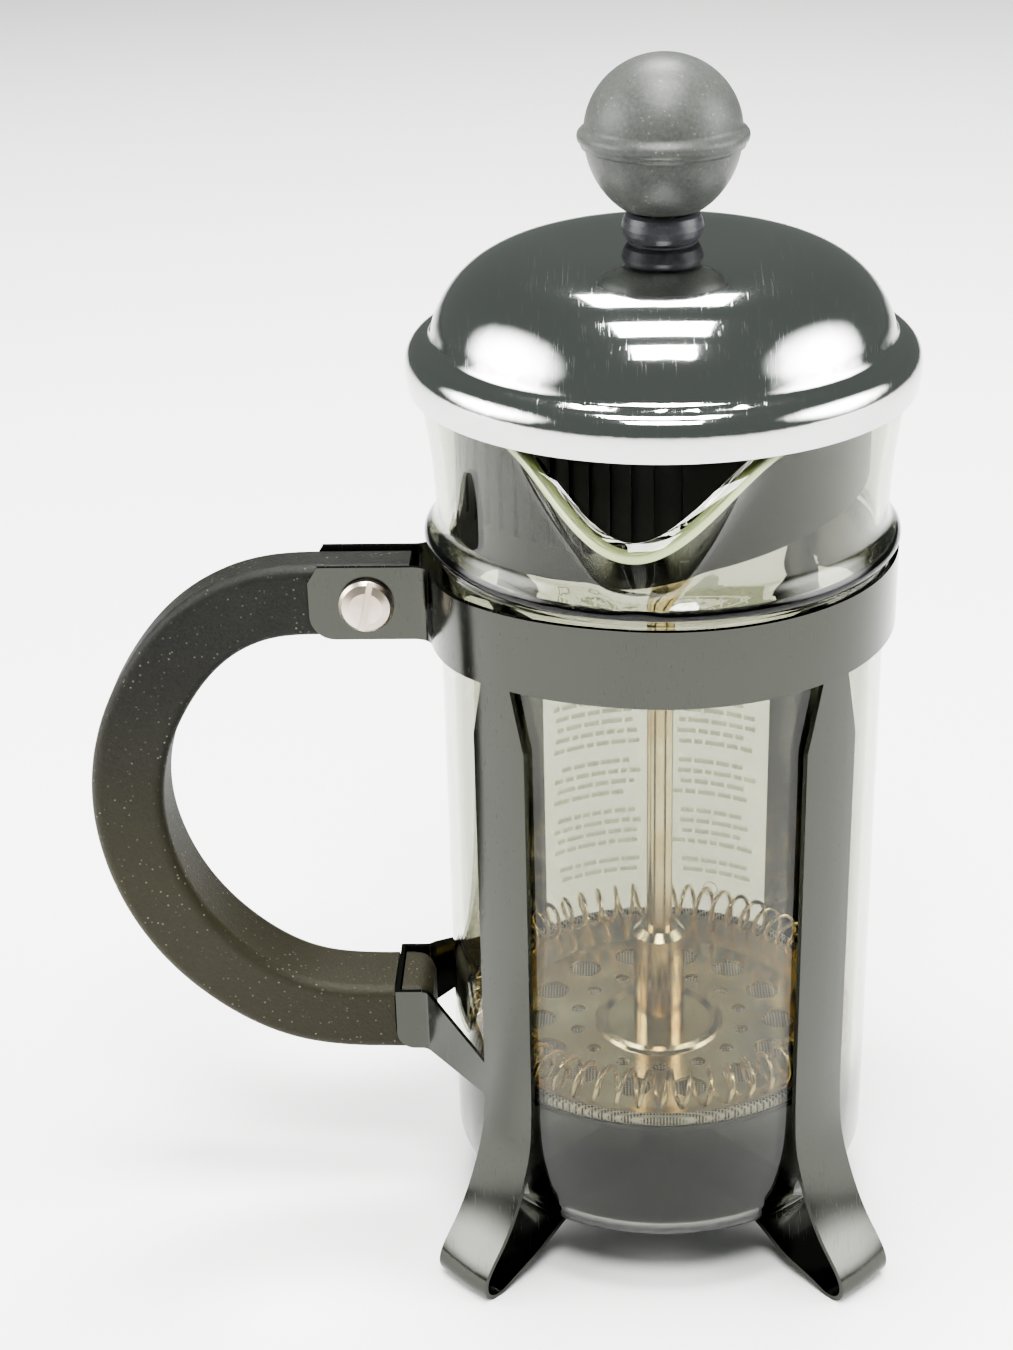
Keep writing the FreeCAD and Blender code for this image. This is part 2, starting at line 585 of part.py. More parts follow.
mesh_top = HUB_Z - 0.02
mesh = ring_profile([(ROD_R, mesh_top - 0.4), (26.3, mesh_top - 0.4), (MESH_R - 1.25, HUB_Z + 2.28),
                     (MESH_R - 1.25, HUB_Z + 2.68), (26.3, mesh_top), (ROD_R, mesh_top)])
save("filter_mesh", mesh)
rim_rows = []
for step in range(12):
    a = math.radians(30 * step)
    rim_rows.append((MESH_R - 0.65 + 0.65 * math.cos(a), RIM_MID_Z + RIM_HALF_H * math.sin(a)))
save("mesh_rim", ring_profile(rim_rows).cut(mesh))

cross_top = mesh_top - 0.42
cross = ring_profile([(ROD_R, cross_top - 0.8), (26.0, cross_top - 0.8), (26.0, cross_top), (ROD_R, cross_top)])
rim_ring = Part.makeCylinder(23.5, 4, V(0, 0, cross_top - 2)).cut(Part.makeCylinder(9.5, 4, V(0, 0, cross_top - 2)))
bars = Part.makeBox(60, 7, 4, V(-30, -3.5, cross_top - 2)).fuse(Part.makeBox(7, 60, 4, V(-3.5, -30, cross_top - 2)))
cross = cross.cut(rim_ring.cut(bars))
lip = ring_profile([(25.9, cross_top - 0.8), (26.9, cross_top - 0.8), (32.2, cross_top + 1.15),
                    (32.2, cross_top + 1.85), (31.7, cross_top + 1.85), (26.7, cross_top), (25.9, cross_top)])
save("cross_plate", cross.fuse(lip).removeSplitter())

nut_rows = [(ROD_R, cross_top - 4.2), (4.0, cross_top - 4.2), (4.6, cross_top - 3.6), (4.6, cross_top - 0.82),
            (ROD_R, cross_top - 0.82)]
save("filter_nut", ring_profile(nut_rows))
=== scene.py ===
import math
import random

import bmesh
import bpy
from mathutils import Matrix, Vector


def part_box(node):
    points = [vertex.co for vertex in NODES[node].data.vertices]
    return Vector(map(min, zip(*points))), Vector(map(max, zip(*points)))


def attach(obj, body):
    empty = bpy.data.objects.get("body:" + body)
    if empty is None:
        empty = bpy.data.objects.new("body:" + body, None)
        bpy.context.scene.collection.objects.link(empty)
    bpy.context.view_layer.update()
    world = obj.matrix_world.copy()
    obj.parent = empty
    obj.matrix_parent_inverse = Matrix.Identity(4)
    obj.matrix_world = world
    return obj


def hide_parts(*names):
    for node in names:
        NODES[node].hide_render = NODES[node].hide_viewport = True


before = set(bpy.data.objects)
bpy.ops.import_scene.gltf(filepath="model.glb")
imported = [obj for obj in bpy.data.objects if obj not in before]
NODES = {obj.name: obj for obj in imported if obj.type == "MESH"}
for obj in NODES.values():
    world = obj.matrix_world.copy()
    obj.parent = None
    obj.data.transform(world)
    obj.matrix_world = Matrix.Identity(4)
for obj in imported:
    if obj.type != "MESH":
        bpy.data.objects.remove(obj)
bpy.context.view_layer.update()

# The pieces' sizes below are in millimetres. The floor, the lights and the camera are in metres.
MM = 0.001
IN_MM = (1000, 1000, 1000)

# ------------------------------------------------------------------ node helpers


def new_material(name):
    mat = bpy.data.materials.new(name)
    mat.use_nodes = True
    return mat, mat.node_tree.nodes, mat.node_tree.links, mat.node_tree.nodes["Principled BSDF"]


def coords(nodes, links, scale):
    tex = nodes.new("ShaderNodeTexCoord")
    mapping = nodes.new("ShaderNodeMapping")
    mapping.inputs["Scale"].default_value = scale
    links.new(tex.outputs["Object"], mapping.inputs["Vector"])
    return mapping.outputs["Vector"]


def noise(nodes, links, vector, scale, detail=4.0, rough=0.55):
    node = nodes.new("ShaderNodeTexNoise")
    node.inputs["Scale"].default_value = scale
    node.inputs["Detail"].default_value = detail
    node.inputs["Roughness"].default_value = rough
    links.new(vector, node.inputs["Vector"])
    return node.outputs["Fac"]


def ramp(nodes, links, fac, stops):
    node = nodes.new("ShaderNodeValToRGB")
    elements = node.color_ramp.elements
    while len(elements) < len(stops):
        elements.new(0.5)
    for element, (pos, colour) in zip(elements, stops):
        element.position = pos
        element.color = colour if len(colour) == 4 else (*colour, 1.0)
    links.new(fac, node.inputs["Fac"])
    return node.outputs["Color"]


def grey(v):
    return (v, v, v, 1.0)


def scaled(colour, k):
    return tuple(c * k for c in colour[:3]) + (1.0,)


def maths(nodes, links, op, a, b):
    node = nodes.new("ShaderNodeMath")
    node.operation = op
    for i, value in enumerate((a, b)):
        if isinstance(value, (int, float)):
            node.inputs[i].default_value = value
        else:
            links.new(value, node.inputs[i])
    return node.outputs[0]


def bump(nodes, links, height, strength, distance):
    node = nodes.new("ShaderNodeBump")
    node.inputs["Strength"].default_value = strength
    node.inputs["Distance"].default_value = distance
    links.new(height, node.inputs["Height"])
    return node.outputs["Normal"]


def mix(nodes, links, fac, a, b):
    node = nodes.new("ShaderNodeMix")
    node.data_type = "RGBA"
    for socket, value in ((node.inputs[0], fac), (node.inputs[6], a), (node.inputs[7], b)):
        if isinstance(value, (int, float, tuple)):
            socket.default_value = value
        else:
            links.new(value, socket)
    return node.outputs[2]


# ------------------------------------------------------------------ materials

DUST = (0.26, 0.25, 0.19, 1.0)
LOWER_FROM_Z, LOWER_FULL_Z = 104.0, 62.0
# Heights of the painted shade in the glass under the filter: it is full up to the first height and gone
# from the second.
PAINTED_SHADE_UP_TO_Z, PAINTED_SHADE_GONE_FROM_Z = 27.0, 33.5
GLASS_IOR = 1.47
INK_GLOW = 1.1


def chrome(name, base, rough, scratch, smudge):
    # Plated sheet: clear reflections, faint smudges and fine random scratches.
    mat, n, l, b = new_material(name)
    vec = coords(n, l, IN_MM)
    cloud = noise(n, l, vec, 0.035, 3.0)
    fine = noise(n, l, vec, 0.9, 2.0)
    lines = []
    for turn, stretch in ((0.8, 0.02), (-0.6, 0.03)):
        mapping = n.new("ShaderNodeMapping")
        mapping.inputs["Rotation"].default_value = (0.9, turn, turn * 1.4)
        mapping.inputs["Scale"].default_value = (2.2, stretch, 0.16)
        l.new(vec, mapping.inputs["Vector"])
        streak = noise(n, l, mapping.outputs["Vector"], 2.4, 1.0)
        lines.append(ramp(n, l, streak, ((0.68, grey(0.0)), (0.73, grey(1.0)))))
    marks = maths(n, l, "MAXIMUM", lines[0], lines[1])
    dirt = ramp(n, l, cloud, ((0.35, grey(0.0)), (0.75, grey(1.0))))
    roughness = maths(n, l, "ADD", rough, maths(n, l, "MULTIPLY", dirt, smudge))
    roughness = maths(n, l, "ADD", roughness, maths(n, l, "MULTIPLY", marks, scratch))
    l.new(mix(n, l, maths(n, l, "MULTIPLY", dirt, 0.18), base, scaled(base, 0.8)), b.inputs["Base Color"])
    b.inputs["Metallic"].default_value = 1.0
    l.new(roughness, b.inputs["Roughness"])
    grain = maths(n, l, "MULTIPLY", fine, 0.15)
    height = maths(n, l, "ADD", grain, maths(n, l, "MULTIPLY", marks, 0.6))
    l.new(bump(n, l, height, 0.04, 0.0002), b.inputs["Normal"])
    return mat


def moulded(name, dark, light, rough, grain, specks, lower=None):
    # Moulded plastic: fine grain, patchy wear, pale dust specks and, if asked, an olive tone lower down.
    mat, n, l, b = new_material(name)
    vec = coords(n, l, IN_MM)
    patch = noise(n, l, vec, 0.055, 4.0, 0.6)
    fine = noise(n, l, vec, 1.7, 5.0, 0.65)
    body = ramp(n, l, patch, ((0.30, dark), (0.72, light)))
    body = mix(n, l, 0.35, body, ramp(n, l, fine, ((0.38, dark), (0.62, light))))
    if lower is not None:
        split = n.new("ShaderNodeSeparateXYZ")
        l.new(vec, split.inputs[0])
        height = n.new("ShaderNodeMapRange")
        l.new(split.outputs[2], height.inputs[0])
        for k, value in enumerate((LOWER_FROM_Z, LOWER_FULL_Z, 0.0, 1.0), 1):
            height.inputs[k].default_value = value
        olive = mix(n, l, fine, scaled(lower, 0.75), scaled(lower, 1.25))
        body = mix(n, l, height.outputs[0], body, olive)
    dots = n.new("ShaderNodeTexVoronoi")
    dots.inputs["Scale"].default_value = 0.9
    l.new(vec, dots.inputs["Vector"])
    dot = ramp(n, l, dots.outputs["Distance"], ((0.08, grey(0.8)), (0.20, grey(0.0))))
    some = ramp(n, l, noise(n, l, vec, 0.11, 2.0), ((0.40, grey(0.15)), (0.62, grey(0.85))))
    dust = maths(n, l, "MULTIPLY", maths(n, l, "MULTIPLY", dot, some), specks)
    l.new(mix(n, l, dust, body, DUST), b.inputs["Base Color"])
    l.new(maths(n, l, "ADD", rough, maths(n, l, "MULTIPLY", patch, 0.12)), b.inputs["Roughness"])
    l.new(bump(n, l, fine, grain, 0.00035), b.inputs["Normal"])
    b.inputs["Specular IOR Level"].default_value = 0.34
    return mat


def steel(name, base, stain, rough, amount):
    # Stainless steel with a second, stained colour gathered in soft patches.
    mat, n, l, b = new_material(name)
    vec = coords(n, l, IN_MM)
    cloud = noise(n, l, vec, 0.09, 5.0, 0.6)
    fine = noise(n, l, vec, 1.3, 3.0)
    tint = ramp(n, l, cloud, ((0.38, grey(0.0)), (0.66, grey(1.0))))
    l.new(mix(n, l, maths(n, l, "MULTIPLY", tint, amount), base, stain), b.inputs["Base Color"])
    b.inputs["Metallic"].default_value = 1.0
    l.new(maths(n, l, "ADD", rough, maths(n, l, "MULTIPLY", tint, 0.12)), b.inputs["Roughness"])
    l.new(bump(n, l, fine, 0.06, 0.0003), b.inputs["Normal"])
    return mat


def woven(name):
    # Fine wire cloth: two crossing wave patterns.
    mat, n, l, b = new_material(name)
    vec = coords(n, l, IN_MM)
    waves = []
    for axis in ("X", "Y"):
        wave = n.new("ShaderNodeTexWave")
        wave.bands_direction = axis
        wave.inputs["Scale"].default_value = 0.62
        l.new(vec, wave.inputs["Vector"])
        waves.append(wave.outputs["Fac"])
    weave = maths(n, l, "MAXIMUM", waves[0], waves[1])
    wires = ramp(n, l, weave, ((0.35, (0.10, 0.09, 0.075)), (0.8, (0.60, 0.55, 0.46))))
    l.new(wires, b.inputs["Base Color"])
    b.inputs["Metallic"].default_value = 1.0
    b.inputs["Roughness"].default_value = 0.34
    l.new(bump(n, l, weave, 0.6, 0.0002), b.inputs["Normal"])
    return mat


def clear_glass(name, colour, painted_shade):
    # Glass with a faint film. Its grey-green tint is partly the glass's own and partly painted shade, dark
    # enough that what shows through reads darker; the deeper tint round the base under the filter is
    # painted shade.
    mat, n, l, b = new_material(name)
    vec = coords(n, l, IN_MM)
    film = ramp(n, l, noise(n, l, vec, 0.05, 4.0), ((0.45, grey(0.0)), (0.8, grey(0.035))))
    split = n.new("ShaderNodeSeparateXYZ")
    l.new(vec, split.inputs[0])
    # A ramp runs from 0 to 1, so it takes the height in units of 100 mm.
    height = maths(n, l, "MULTIPLY", split.outputs[2], 0.01)
    # The ramp paints shade into the glass below the filter.
    l.new(ramp(n, l, height, ((PAINTED_SHADE_UP_TO_Z / 100, painted_shade), (PAINTED_SHADE_GONE_FROM_Z / 100, colour))),
          b.inputs["Base Color"])
    b.inputs["Transmission Weight"].default_value = 1.0
    b.inputs["IOR"].default_value = GLASS_IOR
    l.new(film, b.inputs["Roughness"])
    return mat


def green_glass(name):
    # The pouring lip's thick edge, where the glass shows its green.
    mat, _, _, b = new_material(name)
    b.inputs["Base Color"].default_value = (0.66, 0.74, 0.42, 1.0)
    b.inputs["Roughness"].default_value = 0.06
    b.inputs["Transmission Weight"].default_value = 0.45
    b.inputs["IOR"].default_value = GLASS_IOR
    return mat


def ink(name):
    # Worn pale print. It gives off light, so that it reads paler than the glass in front of the pale floor.
    mat, n, l, b = new_material(name)
    vec = coords(n, l, IN_MM)
    wear = noise(n, l, vec, 1.1, 3.0)
    pale = ramp(n, l, wear, ((0.3, (0.60, 0.61, 0.56)), (0.7, (0.85, 0.86, 0.80))))
    l.new(pale, b.inputs["Base Color"])
    b.inputs["Emission Color"].default_value = (0.90, 0.92, 0.82, 1.0)
    b.inputs["Emission Strength"].default_value = INK_GLOW
    b.inputs["Roughness"].default_value = 0.6
    l.new(ramp(n, l, wear, ((0.30, grey(0.55)), (0.5, grey(0.95)))), b.inputs["Alpha"])
    return mat


# The frame's base colour is far darker than real chrome. This is painted shade, standing in for the dark
# surroundings it would reflect.
PAINTED_SHADE_CHROME = chrome("frame_chrome_painted_shade", (0.076, 0.078, 0.070, 1.0), 0.12, 0.12, 0.10)
# The lid's base colour is kept below real chrome so that its reflections read darker: painted shade.
LID_CHROME_PAINTED_SHADE = chrome("lid_chrome", (0.58, 0.595, 0.58, 1.0), 0.05, 0.08, 0.05)
HANDLE = moulded("handle_plastic", (0.006, 0.006, 0.005), (0.022, 0.022, 0.018),
                 0.48, 0.45, 0.95, (0.031, 0.028, 0.015))
KNOB = moulded("knob_plastic", (0.050, 0.053, 0.050), (0.105, 0.108, 0.100), 0.33, 0.16, 0.75)
BLACK = moulded("insert_plastic", (0.004, 0.004, 0.004), (0.010, 0.010, 0.009), 0.42, 0.08, 0.0)
BEAD = moulded("bushing_plastic", (0.045, 0.045, 0.050), (0.080, 0.080, 0.088), 0.26, 0.06, 0.2)
STEEL = steel("plunger_steel", (0.98, 0.88, 0.64, 1.0), (0.72, 0.50, 0.22, 1.0), 0.14, 0.85)
COIL = steel("coil_steel", (0.98, 0.84, 0.55, 1.0), (0.50, 0.31, 0.11, 1.0), 0.18, 0.85)
SCREW = steel("screw_steel", (0.66, 0.62, 0.58, 1.0), (0.44, 0.35, 0.27, 1.0), 0.24, 0.7)
# The cross plate's steel is painted almost black. This is painted shade for the shadow under the filter
# cloth, not the steel's own colour.
PAINTED_SHADE_STEEL = steel("underside_steel_painted_shade", (0.035, 0.033, 0.030, 1.0), (0.02, 0.016, 0.012, 1.0), 0.30, 0.8)
MESH = woven("filter_cloth")
# The first colour is partly the glass's own tint and partly painted shade; the second is painted shade
# under the filter.
GLASS = clear_glass("beaker_glass", (0.52, 0.525, 0.45, 1.0), (0.20, 0.20, 0.18, 1.0))
INK = ink("print_ink")

LOOKS = {
    "collar_band": PAINTED_SHADE_CHROME, "leg_strip_upper": PAINTED_SHADE_CHROME, "leg_strip_lower": PAINTED_SHADE_CHROME,
    "handle_bracket": PAINTED_SHADE_CHROME, "handle": HANDLE, "handle_screw": SCREW, "handle_nut": SCREW,
    "guide_bushing": BEAD, "bushing_clip": STEEL, "lid_dome": LID_CHROME_PAINTED_SHADE, "lid_insert": BLACK,
    "knob": KNOB, "plunger_rod": STEEL, "rod_sleeve": STEEL, "spiral_plate": STEEL,
    "coil_spring": COIL, "filter_mesh": MESH, "mesh_rim": MESH, "cross_plate": PAINTED_SHADE_STEEL,
    "filter_nut": STEEL, "glass_beaker": GLASS,
}

for node_name, look in LOOKS.items():
    slots = NODES[node_name].data.materials
    slots.clear()
    slots.append(look)

# ------------------------------------------------------------------ mesh helpers


def mesh_object(name, verts, faces, mat):
    data = bpy.data.meshes.new(name)
    data.from_pydata([Vector(v) * MM for v in verts], [], faces)
    data.update()
    obj = bpy.data.objects.new(name, data)
    bpy.context.scene.collection.objects.link(obj)
    data.materials.append(mat)
    for poly in data.polygons:
        poly.use_smooth = True
    return obj


def round_faces(rows, cols):
    # Faces between closed rings of points, ring after ring.
    faces = []
    for i in range(rows - 1):
        for j in range(cols):
            k = (j + 1) % cols
            faces.append((i * cols + j, i * cols + k, (i + 1) * cols + k, (i + 1) * cols + j))
    return faces


def curve_object(name, wire_r, roundness, mat):
    # An empty 3-D curve with a round section.
    curve = bpy.data.curves.new(name, "CURVE")
    curve.dimensions = "3D"
    curve.bevel_depth = wire_r * MM
    curve.bevel_resolution = roundness
    curve.materials.append(mat)
    obj = bpy.data.objects.new(name, curve)
    bpy.context.scene.collection.objects.link(obj)
    return obj, curve


# ------------------------------------------------------------------ glass beaker

GLASS_R = 34.8
GLASS_WALL = 1.8
GLASS_EDGE_ROUND = 0.75
GLASS_COLS = 240
BASE_Z = 9.8
CORNER_R = 5.5
CORNER_STEPS = 8
UPPER_Z = 117.0
UPPER_ROWS = 44
BEAD_Z = 122.9
BEAD_OUT = 2.1
BEAD_SPREAD = 1.9
NECK_Z = 125.0
TOP_Z = 148.0
RIM_R = 37.3

SPOUT_TURN = math.radians(-6.5)
SPOUT_HALF_W = 22.5
SPOUT_TIP_R = 46.5
SPOUT_TIP_Z = 136.5
SPOUT_ROOT_Z = 122.5
SPOUT_POINT = 1.6
SPOUT_FOLD = 0.3
SPOUT_FLARE = 1.35
SPOUT_BACK = math.sqrt(RIM_R ** 2 - SPOUT_HALF_W ** 2)
SPOUT_REACH = math.atan2(SPOUT_HALF_W, SPOUT_BACK)

LIP_EDGE_R = 0.95
LIP_EDGE_DROP = 0.75
LIP_EDGE_SPAN = 0.97
LIP_EDGE_POINTS = 81


def wall_radius(z):
    # Plain wall, bulge ring, neck and flared rim.
    bulge = BEAD_OUT * math.exp(-((z - BEAD_Z) / BEAD_SPREAD) ** 2)
    t = max(0.0, (z - NECK_Z) / (TOP_Z - NECK_Z))
    return GLASS_R + bulge + (RIM_R - GLASS_R) * t ** 2.0


def spout_rim(angle):
    # Radius and height of the pouring lip's edge at an angle from its middle, found by halving.
    if abs(angle) >= SPOUT_REACH:
        return None
    low, high = 0.0, 1.0
    for _ in range(30):
        w = (low + high) / 2
        t = math.cos(math.pi * w / 2) ** SPOUT_POINT
        at = math.atan2(SPOUT_HALF_W * w, SPOUT_BACK + (SPOUT_TIP_R - SPOUT_BACK) * t)
        if at < abs(angle):
            low = w
        else:
            high = w
    y = SPOUT_BACK + (SPOUT_TIP_R - SPOUT_BACK) * t
    return math.hypot(SPOUT_HALF_W * w, y), TOP_Z - (TOP_Z - SPOUT_TIP_Z) * t


def upper_radius(off, z, edge, top):
    # Radius of the upper wall, drawn out into the lip where there is one.
    r = wall_radius(z)
    if edge:
        rise = math.hypot(off / SPOUT_REACH, SPOUT_FOLD) - SPOUT_FOLD
        rise /= math.hypot(1.0, SPOUT_FOLD) - SPOUT_FOLD
        start = SPOUT_ROOT_Z + (TOP_Z - SPOUT_ROOT_Z) * rise
        u = max(0.0, (z - start) / max(top - start, 1e-3)) if top > start else 0.0
        r += (edge[0] - wall_radius(top)) * min(u, 1.0) ** SPOUT_FLARE
    return r


def build_glass():
    # The outer face as rings of points from the base up, with the wall added inwards.
    profile = [(r, BASE_Z) for r in (4.0, 10.0, 17.0, 23.0, GLASS_R - CORNER_R)]
    for step in range(1, CORNER_STEPS + 1):
        a = math.radians(90 * step / CORNER_STEPS)
        profile.append((GLASS_R - CORNER_R + CORNER_R * math.sin(a),
                        BASE_Z + CORNER_R - CORNER_R * math.cos(a)))
    heights = [24 + 8 * k for k in range(11)] + [114.0, UPPER_Z]
    profile += [(GLASS_R, z) for z in heights]
    angles = [2 * math.pi * j / GLASS_COLS for j in range(GLASS_COLS)]
    verts = [(r * math.sin(a), -r * math.cos(a), z) for r, z in profile for a in angles]
    for i in range(1, UPPER_ROWS + 1):
        for a in angles:
            off = (a + math.pi) % (2 * math.pi) - math.pi
            edge = spout_rim(off)
            top = edge[1] if edge else TOP_Z
            z = UPPER_Z + (top - UPPER_Z) * i / UPPER_ROWS
            r = upper_radius(off, z, edge, top)
            verts.append((r * math.sin(a), -r * math.cos(a), z))
    faces = [tuple(reversed(f)) for f in round_faces(len(profile) + UPPER_ROWS, GLASS_COLS)]
    centre = len(verts)
    verts.append((0.0, 0.0, BASE_Z))
    faces += [(centre, (j + 1) % GLASS_COLS, j) for j in range(GLASS_COLS)]
    turn = Matrix.Rotation(SPOUT_TURN, 3, "Z")
    obj = mesh_object("beaker_shell", [turn @ Vector(v) for v in verts], faces, GLASS)

    # The faces of the base look down, so that the wall goes inwards.
    base_top = (BASE_Z + 0.5) * MM
    bm = bmesh.new()
    bm.from_mesh(obj.data)
    bmesh.ops.recalc_face_normals(bm, faces=bm.faces)
    if sum(f.normal.z for f in bm.faces if f.calc_center_median().z < base_top) > 0:
        bmesh.ops.reverse_faces(bm, faces=bm.faces)
    bm.to_mesh(obj.data)
    bm.free()

    solid = obj.modifiers.new("wall", "SOLIDIFY")
    solid.thickness = GLASS_WALL * MM
    solid.offset = -1.0
    solid.use_even_offset = True
    bevel = obj.modifiers.new("bevel", "BEVEL")
    bevel.width = GLASS_EDGE_ROUND * MM
    bevel.segments = 4
    bevel.limit_method = "ANGLE"
    bevel.angle_limit = math.radians(55)
    bevel.harden_normals = False
    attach(obj, "beaker")
    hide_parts("glass_beaker")


def lip_edge():
    # Thick fire-polished edge of the pouring lip.
    obj, curve = curve_object("lip_edge", LIP_EDGE_R, 5, green_glass("lip_glass"))
    curve.use_fill_caps = True
    spline = curve.splines.new("POLY")
    spline.points.add(LIP_EDGE_POINTS - 1)
    turn = Matrix.Rotation(SPOUT_TURN, 3, "Z")
    for k in range(LIP_EDGE_POINTS):
        off = SPOUT_REACH * LIP_EDGE_SPAN * (2 * k / (LIP_EDGE_POINTS - 1) - 1)
        r, z = spout_rim(off)
        r -= LIP_EDGE_R
        at = turn @ Vector((r * math.sin(off), -r * math.cos(off), z - LIP_EDGE_DROP))
        spline.points[k].co = (*(at * MM), 1.0)
    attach(obj, "beaker")


# ------------------------------------------------------------------ smooth knob

KNOB_R = 11.6
KNOB_MID_Z = 183.6
KNOB_UP = 11.2
KNOB_DOWN = 12.9
KNOB_COLS = 128
# The seam ridge's section: how far out from the ball, and how far up from its middle.
KNOB_SEAM = ((0.15, -2.1), (0.42, -1.9), (0.5, -1.55), (0.62, -1.25), (0.88, -1.0), (1.0, -0.45),
             (0.92, 0.0), (0.62, 0.4), (0.18, 0.72))


def ball_rows(first, span, steps, height):
    # Radius and height along the ball's outline, from one angle (in degrees) over a span.
    rows = []
    for k in range(steps + 1):
        a = math.radians(first + span * k / steps)
        rows.append((KNOB_R * math.cos(a), KNOB_MID_Z + height * math.sin(a)))
    return rows


def build_knob():
    # Egg-shaped ball with a moulded seam ridge and a small step under it.
    rows = ball_rows(-58.8, 49.0, 44, KNOB_DOWN)
    rows += [(KNOB_R + out, KNOB_MID_Z + up) for out, up in KNOB_SEAM]
    rows += ball_rows(6.0, 84.0, 60, KNOB_UP)
    angles = [2 * math.pi * j / KNOB_COLS for j in range(KNOB_COLS)]
    verts = [(r * math.cos(a), r * math.sin(a), z) for r, z in rows for a in angles]
    faces = round_faces(len(rows), KNOB_COLS)
    faces.append(tuple(reversed(range(KNOB_COLS))))
    obj = mesh_object("knob_ball", verts, faces, KNOB)
    obj.data.polygons[-1].use_smooth = False
    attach(obj, "plunger")
    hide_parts("knob")


# ------------------------------------------------------------------ print marks on the back of the glass

# Places are (angle in degrees from +Y towards +X, height in mm).
PRINT_R = GLASS_R + 0.06
PRINT_FILM = 0.03
PRINT_COLUMNS = ((-33.0, -3.5), (5.0, 32.0))
PRINT_TOP_Z, PRINT_FOOT_Z = 94.0, 41.0
PARAGRAPHS = (3, 4, 5, 4, 4, 3)
RAGGED_START, RAGGED_END = 4.0, 5.0
WORD_SHORTEST, WORD_LONGEST, WORD_GAP = 2.0, 6.5, 0.75
LINE_HEIGHT, LINE_PITCH, PARAGRAPH_GAP = 0.95, 2.1, 1.7
ICON_HOLE = 0.74


def on_wall(degrees, z):
    a = math.radians(degrees)
    return (PRINT_R * math.sin(a), PRINT_R * math.cos(a), z)


def icon_ring(angle, z, half_w, half_h, sides):
    steps = [k * 2 * math.pi / sides for k in range(sides)]
    return [(angle + half_w * math.cos(t), z + half_h * math.sin(t)) for t in steps]


def print_marks():
    # Columns of plain bars for lines of print, four open outlines and one plain block.
    rng = random.Random(7)
    verts = []
    faces = []

    def bar(a0, a1, z0, z1):
        steps = max(1, int(abs(a1 - a0) / 3.0))
        base = len(verts)
        for k in range(steps + 1):
            a = a0 + (a1 - a0) * k / steps
            verts.append(on_wall(a, z0))
            verts.append(on_wall(a, z1))
        for k in range(steps):
            faces.append((base + 2 * k, base + 2 * k + 2, base + 2 * k + 3, base + 2 * k + 1))

    def outline(points):
        # A closed outline, with a smaller copy of itself as its hole.
        ca = sum(p[0] for p in points) / len(points)
        cz = sum(p[1] for p in points) / len(points)
        base = len(verts)
        for a, z in points:
            verts.append(on_wall(a, z))
            verts.append(on_wall(ca + (a - ca) * ICON_HOLE, cz + (z - cz) * ICON_HOLE))
        count = len(points)
        for k in range(count):
            n = (k + 1) % count
            faces.append((base + 2 * k, base + 2 * n, base + 2 * n + 1, base + 2 * k + 1))

    for a0, a1 in PRINT_COLUMNS:
        z = PRINT_TOP_Z
        for lines in PARAGRAPHS:
            for _ in range(lines):
                if z < PRINT_FOOT_Z:
                    break
                a = a0 + rng.uniform(0.0, RAGGED_START)
                right = a1 - rng.uniform(0.0, RAGGED_END)
                while a < right - 1.5:
                    b = min(right, a + rng.uniform(WORD_SHORTEST, WORD_LONGEST))
                    bar(a, b, z, z + LINE_HEIGHT)
                    a = b + WORD_GAP
                z -= LINE_PITCH
            z -= PARAGRAPH_GAP
    outline([(-30.0, 96.5), (-26.2, 96.5), (-26.2, 100.0), (-30.0, 100.0)])
    outline(icon_ring(-17.0, 98.3, 3.1, 1.9, 20))
    outline([(-10.0, 96.4), (-4.6, 96.4), (-7.3, 100.0)])
    outline(icon_ring(17.7, 38.2, 2.6, 1.6, 16))
    bar(7.0, 33.0, 95.6, 100.8)
    obj = mesh_object("print_marks", verts, faces, INK)
    solid = obj.modifiers.new("film", "SOLIDIFY")
    solid.thickness = PRINT_FILM * MM
    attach(obj, "beaker")


# ------------------------------------------------------------------ woven roll round the filter cloth

WEAVE_WIRE_R = 0.11
WEAVE_TURNS = 210
WEAVE_TURN_POINTS = 7
WEAVE_HALF_W = 0.60
# How far the wire's path stays inside the rim's top and bottom, and its middle inside the outer edge.
WEAVE_TOP_IN = 0.02
WEAVE_SIDE_IN = 0.62


def rim_weave():
    # One thin wire wound round and round the cloth's rolled rim.
    low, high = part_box("mesh_rim")
    half_h = (high.z - low.z) / 2 / MM - WEAVE_TOP_IN
    ring_r = (high.x - low.x) / 2 / MM - WEAVE_SIDE_IN
    mid_z = (high.z + low.z) / 2 / MM
    count = WEAVE_TURNS * WEAVE_TURN_POINTS
    obj, curve = curve_object("rim_weave", WEAVE_WIRE_R, 1, MESH)
    spline = curve.splines.new("NURBS")
    spline.points.add(count - 1)
    for k in range(count):
        along = 2 * math.pi * k / count
        around = along * WEAVE_TURNS
        r = ring_r + WEAVE_HALF_W * math.cos(around)
        z = mid_z + half_h * math.sin(around)
        spline.points[k].co = (r * math.cos(along) * MM, r * math.sin(along) * MM, z * MM, 1.0)
    spline.use_cyclic_u = True
    spline.order_u = 3
    spline.resolution_u = 1
    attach(obj, "plunger")


# ------------------------------------------------------------------ floor, light and camera

FLOOR_HALF = 6.0
FLOOR_DARK, FLOOR_LIGHT = (0.80, 0.80, 0.79), (0.83, 0.83, 0.82)

